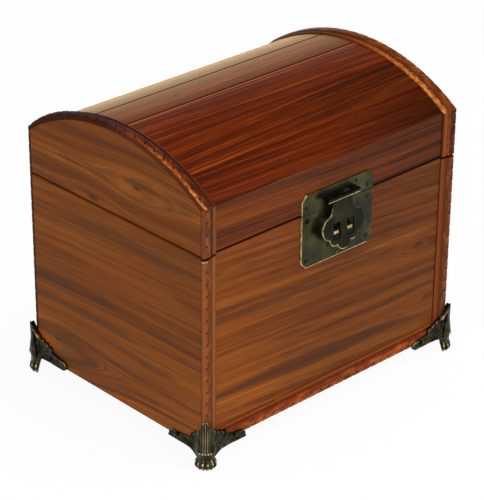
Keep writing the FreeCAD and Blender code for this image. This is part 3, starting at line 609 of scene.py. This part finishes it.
def stripFace(across, travel, crown, width, length, rounded, fall):
    # height = section less slanting rope grooves, veins and drilled pits, eased down at a rounded top
    # relief: 1 on ridges, 0 in hollows, above 1 for a painted highlight on the rounded top, below 0 for a painted
    # shadow in the seam over it
    count = max(1, round(length / strip["pitch"]))
    turns = travel / length * count
    lobe = (across - strip["ropeMiddle"]) / strip["ropeHalf"]
    onRope = clamp((1 + strip["ropeFade"] - np.abs(lobe)) / strip["ropeFade"])
    turn = turns - strip["twist"] * lobe - strip["curl"] * np.sin(lobe * math.pi)
    groove = bell(turn - np.round(turn), strip["grooveWidth"]) * onRope
    vein = bell(turn - np.floor(turn) - 0.5, strip["veinWidth"]) * clamp(1 - np.abs(lobe) * 1.2)
    hole = turns - strip["twist"] * strip["pitAcross"]
    holeAlong = (hole - np.round(hole)) * length / count
    holeAcross = (lobe - strip["pitAcross"]) * strip["ropeHalf"] * width
    pit = np.exp(-(holeAlong ** 2 + holeAcross ** 2) / strip["pitSize"] ** 2 * 2.2)
    section = softSteps(*zip(*stripSection), across, 0.02) * crown
    carved = groove * strip["groove"] + vein * strip["vein"] + pit * strip["pit"]
    height = np.maximum(section - carved, strip["least"] * crown) * fall
    height[:, [0, -1]] = 0.0
    cove = bell(across - strip["cove"], strip["coveWidth"])
    toTop = length - travel
    under = clamp(2 - toTop / strip["shadow"]) * rounded
    paintedHighlight = clamp(1 - np.abs(toTop / strip["paintedHighlight"] - 1) * 3) * rounded * clamp(2.5 - 6 * across)
    relief = clamp(1 - groove * 0.38 - pit * 1.15 - vein * 0.15 - cove * 0.80) + paintedHighlight - 2 * under
    return height, relief


def carveStrip(name, body, length, width, crown, bend, rounded=False, reach=1.0, swell=0.0):
    # bend(travel, distance across, height) gives the points of the face; the section closes flat on the wood
    rows = round(length / strip["step"])
    across = np.concatenate([[0.0], np.linspace(0, 1, strip["columns"]), [1.0]])[None, :]
    travel = np.linspace(0, length, rows)[:, None]
    fall = np.sqrt(1 - 0.90 * clamp(1 - (length - travel) / strip["endRound"]) ** 2 * rounded)
    crown = crown * (1 + swell * np.sin(math.pi * clamp(travel / length * 2 - 1) ** 2))  # thicker behind the top
    height, relief = stripFace(across / reach, travel, crown, width * reach, length, rounded, fall)
    inset = strip["sideRound"] * (1 - fall)
    uv = together(travel, across / reach)
    sheets = Sheets()
    sheets.add(bend(travel, inset + across * (width - inset), height), relief, uv)
    material = carvedPine(name + "_pine", stripLooks.get(name, uprightLook))
    seat(sheets.build(name + "_carved", "relief", material, smoothAngle=50), body, "carved_moulding", name)


mitreSlope = math.tan((math.pi / 2 - archTurn) / 2)


def uprightBend(low, high, outerLeft, front, mitred):
    # x from the outer edge inwards, y out of the wood, z up; a mitred top rises with the height of the face
    def bend(travel, across, height):
        x = low.x + across if outerLeft else high.x - across
        y = high.y - height if front else low.y + height
        top = (springZ if mitred else high.z) - low.z
        z = low.z + travel * (1 + (height * mitreSlope / top if mitred else 0.0))
        return together(x, y, z)
    return bend


def baseBend(low, high, front):
    # x along the strip, z from the bottom edge up, y out of the wood
    def bend(travel, across, height):
        y = high.y - height if front else low.y + height
        return together(low.x + travel, y, low.z + across)
    return bend


def archBend(low, high, outerLeft):
    # the path is the roof's arc, the face stands off along its radius, both ends mitred
    def bend(travel, across, height):
        share = travel / (archRadius * archTurn) - 1
        angle = share * (archTurn + np.arctan(height * mitreSlope / (archRadius + height)))
        y = archMiddle + (archRadius + height) * np.sin(angle)
        z = archCentre + (archRadius + height) * np.cos(angle)
        x = low.x + across if outerLeft else high.x - across
        return together(x, y, z)
    return bend


for part, body in (("", "box"), ("lid_", "lid")):
    for face in ("front", "back"):
        for side in ("left", "right"):
            name = f"{part}{face}_{side}_moulding"
            low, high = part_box(name)
            length = (springZ if part else high.z) - low.z
            bend = uprightBend(low, high, side == "left", face == "front", bool(part))
            rounded = face == "front" and not part  # the box's strips at the front are eased under the lid's, with a painted shadow at the seam and a painted highlight on their tops
            carveStrip(name, body, length, high.x - low.x, high.y - low.y, bend, rounded, strip["uprightReach"])
for face in ("front", "back"):
    name = f"{face}_base_moulding"
    low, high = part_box(name)
    bend = baseBend(low, high, face == "front")
    carveStrip(name, "box", high.x - low.x, high.z - low.z, high.y - low.y, bend)
for side in ("left", "right"):
    name = f"lid_{side}_arch_moulding"
    low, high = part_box(name)
    crown = high.z - springZ - archRise
    bend = archBend(low, high, side == "left")
    swell = strip["archSwell"] if side == "left" else 0.0
    carveStrip(name, "lid", 2 * archRadius * archTurn, high.x - low.x, crown, bend, swell=swell)
print("mouldings carved: 12")


# cast feet: a fluted corner leaf over a petalled paw, and an acanthus wing along each face
# local frame: the corner of the box at the origin, the box at x, y above zero, sizes in millimetres

foot = {
    "drop": baseZ / mm, "axis": 1.6, "pawTop": -2.4, "pawRows": 48, "leafFrom": -2.2, "leafTip": 18.2, "leafRows": 44,
    "columns": 121, "flatColumns": 9, "neck": -0.40, "petals": 6.4, "petalFrom": -0.42, "petalDepth": 0.14,
    "scallop": 0.6, "scallopFrom": -0.72, "flute": 1.25, "fluteDepth": 0.045, "spine": 3.1, "beads": 5,
    "beadSize": 0.60, "beadOut": 5.65, "beadZ": -0.3, "beadTurn": 0.56, "seatReach": 20.0, "seatDrop": 0.6,
    # toes: painted highlight lines across the paw's petals
    "toes": [(-0.62, 0.06, 1.0), (-0.86, 0.07, 0.8), (-0.47, 0.04, 0.5)],  # bright lines: place, width, weight
}
footProfile = {  # share of the drop below the box or height above it: radius about the axis, half width, inner flat
    "height": [-1.0, -0.98, -0.92, -0.82, -0.72, -0.63, -0.55, -0.49, -0.44, -0.34, -0.16, 0.2, 3.0, 6.75, 10.0, 13.0,
               16.4, 18.2],
    "radius": [4.1, 4.8, 5.6, 6.15, 6.25, 6.0, 5.5, 4.9, 4.5, 4.8, 5.5, 5.9, 5.6, 5.1, 4.8, 4.7, 4.5, 3.9],
    "half": [4.1, 4.8, 5.6, 6.15, 6.25, 6.0, 5.5, 4.9, 4.5, 4.7, 5.3, 5.7, 5.3, 4.6, 3.9, 3.1, 1.9, 1.0],
    "flat": [1.0, 1.0, 0.9, 0.7, 0.3, 0.0, -0.3, -0.6, -0.9, -1.5, -2.0, -2.3, -2.3, -2.3, -2.0, -1.0, 0.5, 2.0],
}
wing = {
    "from": -1.3, "to": 28.0, "leafEnd": 16.2, "rows": 150, "columns": 44, "fanLow": 5.5, "fanBack": 0.6, "veins": 60,
    "hollow": 0.85, "thin": 0.55, "least": 0.35, "let": 0.6,
}
wingEdges = {  # along the face: upper edge with its leaflet tips, lower edge, stand-off; angles and widths of the ribs
    "top": [(-1.3, 18.2), (0.6, 15.8), (2.8, 13.2), (5.0, 11.6), (5.8, 10.2), (6.8, 9.8), (8.0, 10.3), (8.9, 8.9),
            (10.0, 8.4), (11.3, 9.2), (12.2, 7.7), (13.3, 6.8), (14.6, 7.9), (15.4, 6.0), (16.2, 4.5), (18.0, 3.8),
            (21.0, 3.2), (24.5, 2.7), (26.8, 2.3), (28.0, 1.0)],
    "low": [(-1.3, -4.9), (2.0, -4.4), (4.0, -3.5), (6.0, -2.4), (8.0, -1.6), (10.5, -1.2), (16.0, -1.1), (24.0, -1.4),
            (26.8, -1.6), (28.0, -1.3)],
    "stand": [(-1.3, 2.4), (1.5, 2.8), (4.0, 2.9), (8.0, 2.5), (13.0, 2.2), (22.0, 2.0), (28.0, 1.7)],
    "ribs": [(72.0, 9.0), (58.0, 5.0), (46.0, 4.5), (36.0, 4.5), (14.0, 7.0)],
}


def footColumn():
    # radius = profile over height, less concave petals on the paw or flutes on the leaf; section closed by a flat
    heights = [h * foot["drop"] if h < 0 else h for h in footProfile["height"]]
    z = np.concatenate([np.linspace(heights[0], foot["pawTop"], foot["pawRows"]),
                        np.linspace(foot["leafFrom"], foot["leafTip"], foot["leafRows"])])
    radius, half, flat = (softSteps(heights, footProfile[key], z, 0.25)[:, None] for key in ("radius", "half", "flat"))
    z = z[:, None]
    low = z / foot["drop"]
    paw = clamp((foot["neck"] - low) / 0.06)
    leaf = clamp((low + 0.10) / 0.1)
    wholeReach = np.arccos(np.clip(flat / radius, -1, 1))
    leafReach = np.minimum(wholeReach, np.arcsin(clamp(half / radius)))
    angle = np.linspace(-1, 1, foot["columns"])[None, :] * (leafReach + (wholeReach - leafReach) * paw)
    ridge = np.abs(np.sin(angle * foot["petals"]))
    petal = (1 - ridge ** 0.8) * paw * np.clip((foot["petalFrom"] - low) / 0.30, 0.15, 1)
    side = radius * np.sin(angle) / foot["flute"]
    spine = clamp((foot["spine"] - np.abs(side)) / 1.6)
    flute = np.abs(np.cos(side * math.pi))
    fluted = (1 - flute) * spine * leaf * clamp((foot["leafTip"] - z) / 5.0)
    outer = radius * (1 - foot["petalDepth"] * petal - foot["fluteDepth"] * fluted)
    scallop = (1 - ridge) * foot["scallop"] * clamp((foot["scallopFrom"] - low) / 0.28)
    front = together(outer * np.cos(angle), outer * np.sin(angle), z + scallop)
    last, first = front[:, -1:, :], front[:, :1, :]
    back = last + (first - last) * np.linspace(0.1, 0.9, foot["flatColumns"])[None, :, None]
    # the bright mark: worn paw ridges and petals, painted highlight lines on the petals, flutes bright from wearing and
    # painted highlight, a bright leaf tip
    toe = sum(weight * bell(low - place, width) for place, width, weight in foot["toes"])
    wearAndHighlight = paw * (0.12 + 0.25 * ridge ** 2 + 0.55 * toe * ridge ** 4)
    wearAndHighlight = wearAndHighlight + (1 - paw) * (0.10 + spine * (0.17 + 0.36 * flute ** 3) * leaf)
    wearAndHighlight = wearAndHighlight + 0.35 * clamp((z - 16.4) / 1.5)
    marks = np.concatenate([wearAndHighlight, np.full((len(z), foot["flatColumns"]), 0.1)], axis=1)
    return turnedOut(np.concatenate([front, back], axis=1)), clamp(marks)


def turnedOut(points):  # from the paw's own axes, outward along the diagonal, to the corner's frame
    out, side, z = points[..., 0], points[..., 1], points[..., 2]
    x = foot["axis"] - (out - side) / math.sqrt(2)
    y = foot["axis"] - (out + side) / math.sqrt(2)
    return together(x, y, z)


def footWing(leafReach, rub):
    # stand-off = thick lower edge falling to a thin upper one, with ribs that fan out from the neck and rims
    start, leafEnd, end = wing["from"], wing["leafEnd"], wing["to"]
    u = np.linspace(start, end, wing["rows"])[:, None]
    leafU = np.interp(u, [start, 0.0, leafEnd * leafReach, end], [start, 0.0, leafEnd, end])
    v = np.linspace(0, 1, wing["columns"])[None, :]
    top = softSteps(*zip(*wingEdges["top"]), leafU, 0.22)
    low = softSteps(*zip(*wingEdges["low"]), u, 0.5)
    z = low + (top - low) * v
    fan = np.degrees(np.arctan2(z + wing["fanLow"], np.maximum(leafU, 0) + wing["fanBack"]))
    ribs = np.max([bell(fan - middle, spread) for middle, spread in wingEdges["ribs"]], axis=0)
    veins = 0.5 + 0.5 * np.cos(np.radians(fan) * wing["veins"])
    slope = clamp((u + 1.5) / 2) * clamp((5.6 - u) / 1.0)
    rim = bell(top - z, 0.6 + 0.9 * slope)
    foil = bell(v, 0.10)
    thick = softSteps(*zip(*wingEdges["stand"]), u, 0.5)
    hollow = np.sin(np.pi * v) * wing["hollow"] * (1 - ribs) * np.clip((u + 0.5) / 4, 0.2, 1)
    out = thick * (1 - wing["thin"] * v * clamp((u - 1) / 7)) - hollow
    out = out + 0.12 * veins + 0.30 * rim * ribs + 0.25 * foil
    front = together(u, -np.maximum(out, wing["least"]), z)
    back = together(u, np.full((1, 2), wing["let"]), np.concatenate([top, low], axis=1))
    # bright rims, ribs and lower edge of the wing: worn edges and painted highlight
    rimWearAndHighlight = rim * rub * clamp(0.25 + 0.75 * np.maximum(ribs ** 2, 0.6 * slope))
    wearAndHighlight = rimWearAndHighlight + 0.28 * ribs ** 3 * (1 - rim) + 0.22 * foil
    marks = np.concatenate([wearAndHighlight, np.full((len(u), 2), 0.05)], axis=1)
    return np.concatenate([front, back], axis=1), clamp(marks)


def footBead(turn):
    # a ball: radius times the unit vectors of latitude and longitude
    latitude = np.linspace(-math.pi / 2, math.pi / 2, 9)[:, None]
    longitude = np.linspace(0, 2 * math.pi, 13)[None, :-1]
    ring = np.cos(latitude)
    ball = together(ring * np.cos(longitude), ring * np.sin(longitude), np.sin(latitude))
    middle = [foot["beadOut"] * math.cos(turn), foot["beadOut"] * math.sin(turn), foot["beadZ"]]
    return turnedOut(ball * foot["beadSize"] + np.array(middle))


def footSeat():  # the triangular ledge under the corner of the box
    reach = foot["seatReach"]
    return together([[0.0, reach, 0.0]], [[0.0, 0.0, reach]], [[0.0], [-foot["seatDrop"]]])


# rub weighs the wings' bright rims: worn edges and painted highlight
def castFoot(name, corner, quarterTurns, lift=0.0, shift=(0.0, 0.0, 0.0), leafReach=(1.0, 1.0), rub=1.0):
    turn = np.linalg.matrix_power([[0, -1, 0], [1, 0, 0], [0, 0, 1]], quarterTurns)

    def placed(points):  # lifted above the box's lower edge, the paw stretched from the floor
        share = clamp(1 + points[..., 2:] / foot["drop"])
        lifted = points + share * np.array([0.0, 0.0, lift])
        return (lifted @ turn.T + np.array(shift)) * mm + np.array(corner)

    sheets = Sheets()
    column, columnWearAndHighlight = footColumn()
    sheets.add(placed(column), columnWearAndHighlight)
    for reach, order in zip(leafReach, ([0, 1, 2], [1, 0, 2])):
        leaf, leafWearAndHighlight = footWing(reach, rub)
        sheets.add(placed(leaf[..., order]), leafWearAndHighlight)
    # beads marked bright: worn and painted highlight
    for angle in np.linspace(-foot["beadTurn"], foot["beadTurn"], foot["beads"]):
        sheets.add(placed(footBead(angle)), 0.85, capped=False)
    sheets.add(placed(footSeat()), 0.1)
    seat(sheets.build(name + "_casting", "wearAndHighlight", castBronze, smoothAngle=55), "box", "foot_bronze", name)


frontFace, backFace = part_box("front_left_moulding")[0].y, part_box("back_left_moulding")[1].y
castFoot("foot_front_left", (endLow.x, frontFace, baseZ), 0, 0.0, (0.45, -0.45, 0.0), (0.95, 0.68), 0.6)
castFoot("foot_front_right", (endHigh.x, frontFace, baseZ), 1, 0.2)
castFoot("foot_back_right", (endHigh.x, backFace, baseZ), 2)
castFoot("foot_back_left", (endLow.x, backFace, baseZ), 3, 1.9, (-0.5, 0.5, 0.0))
dress("foot_nails", plateBronze)
print("feet cast: 4")


# latch: the solids' own shapes with eased edges, bright where worn and with painted highlights on sides toward the left
# and below, painted shade in holes, windows and behind the barrel

latch = {
    "ease": 0.36 * mm, "barrel": 1.75 * mm, "barrelHighlightFrom": 15.0, "barrelHighlightTo": 75.0, "frame": 1.3 * mm, "rim": 0.34 * mm,
    "rimReach": 2.4 * mm, "close": 0.25 * mm, "closeReach": 0.6 * mm, "proud": 0.1 * mm, "flat": 0.97, "level": 0.99,
    "seamClear": 1.2 * mm, "sharpClear": 0.8 * mm, "windowLow": 4 * mm, "windowHigh": 5 * mm, "sharp": math.radians(35),
}
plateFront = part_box("latch_lower_plate")[0].y


def framed(x):  # at a window of the hasp or in its frame
    return any(low.x - latch["frame"] < x < high.x + latch["frame"] for low, high in windows)


def finish(middle, normal, node, box):  # 0 dark, 1 bright: worn rims and staple noses, with painted highlights on faces toward the light, 2 dark barrel and ears, with painted shade on walls inside the plates' holes
    if node.startswith("staple"):
        # staples: painted highlight on faces turned left, front and back
        return int(normal.x < -0.5 or abs(normal.y) > 0.9)
    if math.hypot(middle.y - pinY, middle.z - pinZ) < latch["barrel"]:
        turn = math.degrees(math.atan2(pinZ - middle.z, pinY - middle.y))  # about the pin, from straight out down
        # painted highlight band on the barrel's lower front, the rest of the barrel dark
        return 1 if latch["barrelHighlightFrom"] < turn < latch["barrelHighlightTo"] else 2
    turned = abs(normal.y) < latch["flat"]
    if node.startswith("latch"):
        if middle.y < plateFront - latch["proud"]:
            # parts standing out of the plate: painted highlight on faces turned left, the rest dark
            return 1 if normal.x < -0.6 else 2
        low, high = box
        inside = min(middle.x - low.x, high.x - middle.x, middle.z - low.z, high.z - middle.z)
        # painted shade on walls inside the plate, away from its rim
        if turned and inside > latch["rimReach"]:
            return 2
        # sides bright where they do not face up: worn edges with painted highlight, away from the seam
        return int(turned and min(normal.z, normal.x + 0.8) < 0.3 and abs(middle.z - seamZ) > latch["seamClear"])
    low, high = windows[0]
    level = low.z - latch["windowLow"] < middle.z < high.z + latch["windowHigh"]
    # hasp sides bright, walls of its windows left dark as painted shade
    return int(turned and not (level and framed(middle.x)))


def rimFinish(face, rim, node, box):  # 1 on front edges to the left or below, away from windows, seam and barrel: worn, with painted highlight on edges toward the light
    others = [other for edge in face.edges for other in edge.link_faces if other not in rim]
    out = sum((other.normal for other in others if other.normal.y > -latch["level"]), Vector()) * Vector((1, 0, 1))
    middle = face.calc_center_median()
    if node == "hasp":
        clear = middle.z < pinZ - 4 * mm and not (framed(middle.x) and middle.z > stapleLow.z - 4.4 * mm)
        clear = clear and (middle.x < stapleHigh.x or middle.z < stapleLow.z - 2 * mm)
    else:
        inside = min(middle.x - box[0].x, middle.z - box[0].z)
        clear = inside < latch["rimReach"] and abs(middle.z - seamZ) > latch["seamClear"]
    return int(clear and max(-0.6 * out.x - 0.8 * out.z, 0.6 * min(-out.x, out.z)) > 0.3 * out.length)


def eased(node, body, slot, flatMaterial):
    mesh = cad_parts[node].data.copy()
    mesh.materials.clear()
    # slots: own finish, bright edge brass, and dark nail bronze for the barrel, ears and painted shade
    for material in (flatMaterial, wornAndLitEdge, nailBronze):
        mesh.materials.append(material)
    shell = bmesh.new()
    shell.from_mesh(mesh)
    bmesh.ops.remove_doubles(shell, verts=shell.verts, dist=2e-6)
    for vert in shell.verts:  # the plates meet a little closer at the seam, as photographed
        onPlate = node.startswith("latch") and vert.co.y > plateFront - latch["proud"]
        if onPlate and abs(vert.co.z - seamZ) < latch["closeReach"]:
            vert.co.z += math.copysign(latch["close"], seamZ - vert.co.z)
    bmesh.ops.dissolve_limit(shell, angle_limit=math.radians(1.0), verts=shell.verts, edges=shell.edges)
    sharp = [edge for edge in shell.edges
             if edge.is_manifold and edge.calc_face_angle() > latch["sharp"]
             and max(abs(vert.co.z - seamZ) for vert in edge.verts) > latch["sharpClear"]]
    bmesh.ops.bevel(shell, geom=sharp, offset=latch["ease"], segments=2, profile=0.6, affect="EDGES",
                    clamp_overlap=True, material=1)
    shell.normal_update()
    front = [] if node.startswith("staple") else [
        face for face in shell.faces if face.normal.y < -latch["flat"] and face.calc_area() > 4e-6]
    rim = set(bmesh.ops.inset_region(shell, faces=front, thickness=latch["rim"], use_even_offset=True)["faces"])
    shell.normal_update()
    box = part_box(node)
    for face in shell.faces:
        plain = finish(face.calc_center_median(), face.normal, node, box)
        face.material_index = rimFinish(face, rim, node, box) if face in rim else plain
    shell.to_mesh(mesh)
    shell.free()
    mesh.shade_smooth()
    mesh.set_sharp_from_angle(angle=math.radians(50))
    piece = stand(node + "_eased", mesh)
    piece.modifiers.new("flatFaces", "WEIGHTED_NORMAL").keep_sharp = True
    seat(piece, body, slot, node)


eased("latch_upper_plate", "lid", "latch_bronze", plateBronze)
eased("latch_lower_plate", "box", "latch_bronze", plateBronze)
eased("hasp", "hasp", "latch_bronze", haspBronze)
eased("staple_left", "box", "staple_brass", haspBronze)
eased("staple_right", "box", "staple_brass", haspBronze)
for node in ("latch_upper_nails", "latch_lower_nails", "hasp_pin"):
    dress(node, nailBronze)
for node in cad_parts:
    if "hinge" in node:
        dress(node, oldBrass)
print("latch and hinges finished")


# stage: white floor that keeps a faint shadow, soft studio light, the photograph's camera

studio = {
    "floorSize": 6.0, "paper": (0.92, 0.92, 0.92, 1.0), "glow": 0.94, "ambient": 0.55, "ceiling": (0.24, 0.56),
    "dim": 0.92, "aim": (0, 0, 0.09),
    "lamps": [  # name, place, size, power
        ("keyLamp", (0.55, -1.35, 1.05), 0.8, 13.0),
        ("fillLamp", (-1.5, -0.5, 0.7), 0.9, 7.0),
        ("topLamp", (0.32, -0.55, 1.5), 0.6, 6.0),
    ],
}
viewpoint = {
    "azimuth": -43.4906, "elevation": 27.3613, "roll": 0.4162, "lens": 153.585, "sensor": 36.0, "clip": 20.0,
    "fromFront": (-0.738310, -0.707950, 0.614159),  # from the middle of the ends' front bottom edges
}


def whiteRays(shade):  # two masks: camera rays, and rays for what gloss and glass show
    kinds = ("Camera", "Glossy", "Transmission")
    camera, glossy, through = (shade.node("LightPath", out=f"Is {kind} Ray") for kind in kinds)
    return camera, glossy.larger(through)


def layFloor():
    half = studio["floorSize"] / 2
    mesh = bpy.data.meshes.new("floor")
    mesh.from_pydata([(-half, -half, 0), (half, -half, 0), (half, half, 0), (-half, half, 0)], [], [(0, 1, 2, 3)])
    material, shade, principled = newMaterial("whitePaper")
    paper = shade.node("BsdfDiffuse", {}, {"Color": studio["paper"]})
    glow = Value.larger(*whiteRays(shade)) * studio["glow"]
    both = shade.node("MixShader", {}, {0: glow, 1: paper, 2: shade.node("Emission")})
    feed(shade.tree.nodes["Material Output"], {"Surface": both}, {})
    shade.tree.nodes.remove(principled)
    mesh.materials.append(material)
    stand("floor", mesh)


def lightWorld():
    world = bpy.context.scene.world = bpy.data.worlds.new("studio")
    world.use_nodes = True
    shade = Value(world.node_tree)
    camera, mirrored = whiteRays(shade)
    height = shade.node("TexCoord", out="Generated").parts()[2]
    room = 1 - height.smooth(*studio["ceiling"]) * studio["dim"]  # white backdrop, dim ceiling
    strength = studio["ambient"] + camera * (1 - studio["ambient"]) + mirrored * (room - studio["ambient"])
    feed(world.node_tree.nodes["Background"], {"Strength": strength}, {"Color": (1.0, 1.0, 1.0, 1.0)})


def hangLamp(name, place, size, power):
    lamp = bpy.data.lights.new(name, "AREA")
    lamp.shape, lamp.size, lamp.energy = "DISK", size, power
    hung = stand(name, lamp)
    hung.location = place
    hung.rotation_euler = (Vector(studio["aim"]) - Vector(place)).to_track_quat("-Z", "Y").to_euler()


def setCamera():
    # looks back along the azimuth and elevation, turned by the roll about its own axis
    azimuth, elevation, roll = (math.radians(viewpoint[key]) for key in ("azimuth", "elevation", "roll"))
    level = math.cos(elevation)
    away = Vector((math.sin(azimuth) * level, -math.cos(azimuth) * level, math.sin(elevation)))
    right = Vector((0, 0, 1)).cross(away).normalized()
    up = away.cross(right)
    tiltedRight = right * math.cos(roll) + up * math.sin(roll)
    tiltedUp = up * math.cos(roll) - right * math.sin(roll)
    lens = bpy.data.cameras.new("photoCamera")
    lens.lens, lens.sensor_width, lens.clip_end = (viewpoint[key] for key in ("lens", "sensor", "clip"))
    camera = stand("photoCamera", lens)
    place = Vector((0.0, endLow.y, baseZ)) + Vector(viewpoint["fromFront"])
    camera.matrix_world = Matrix.Translation(place) @ Matrix((tiltedRight, tiltedUp, away)).transposed().to_4x4()
    bpy.context.scene.camera = camera


layFloor()
lightWorld()
for lamp in studio["lamps"]:
    hangLamp(*lamp)
setCamera()
bpy.context.scene.view_settings.view_transform = "Standard"
print("stage set")
